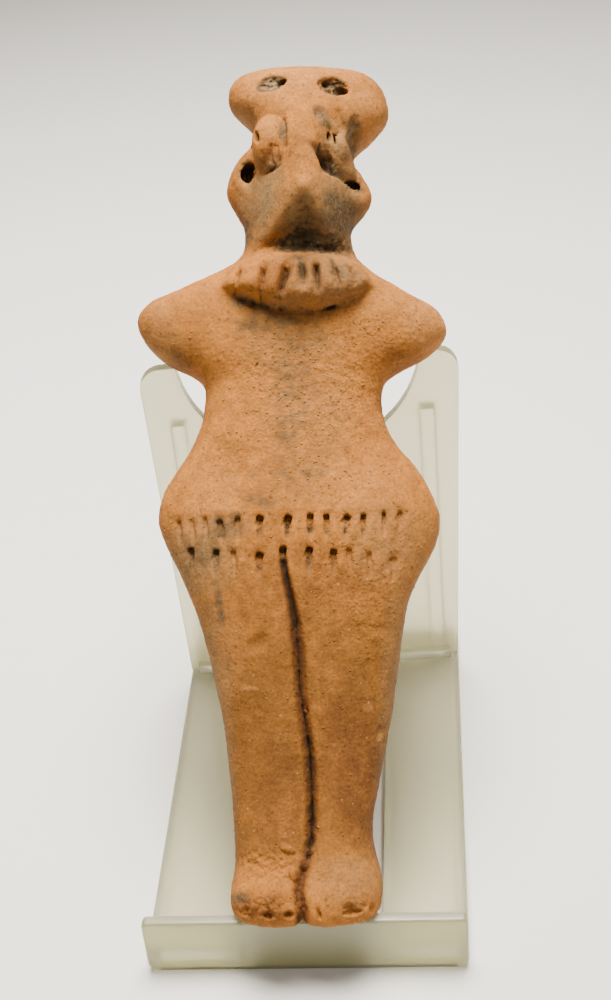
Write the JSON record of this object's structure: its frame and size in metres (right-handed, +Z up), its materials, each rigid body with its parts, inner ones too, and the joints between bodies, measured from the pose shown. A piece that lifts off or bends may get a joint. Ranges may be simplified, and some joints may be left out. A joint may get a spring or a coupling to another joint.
{
  "type": "terracotta worshipper statuette",
  "caption": "Hand-modelled clay standing figure with a pinched bird-like face, stub arms and a pressed collar, leaning back on a frosted plastic display easel.",
  "frame": {"origin": "middle of the whole object's footprint, on the surface it stands on", "axes": "+Z up, -Y towards the viewer, who sees the figure's front; +X to the viewer's right"},
  "size_m": [0.0546, 0.1056, 0.1114],
  "materials": {
    "fired_clay": "matte",
    "frosted_plastic": "satin"
  },
  "bodies": {
    "root": {"statuette": "fired_clay", "easel_base": "frosted_plastic", "easel_back": "frosted_plastic"}
  },
  "joints": []
}
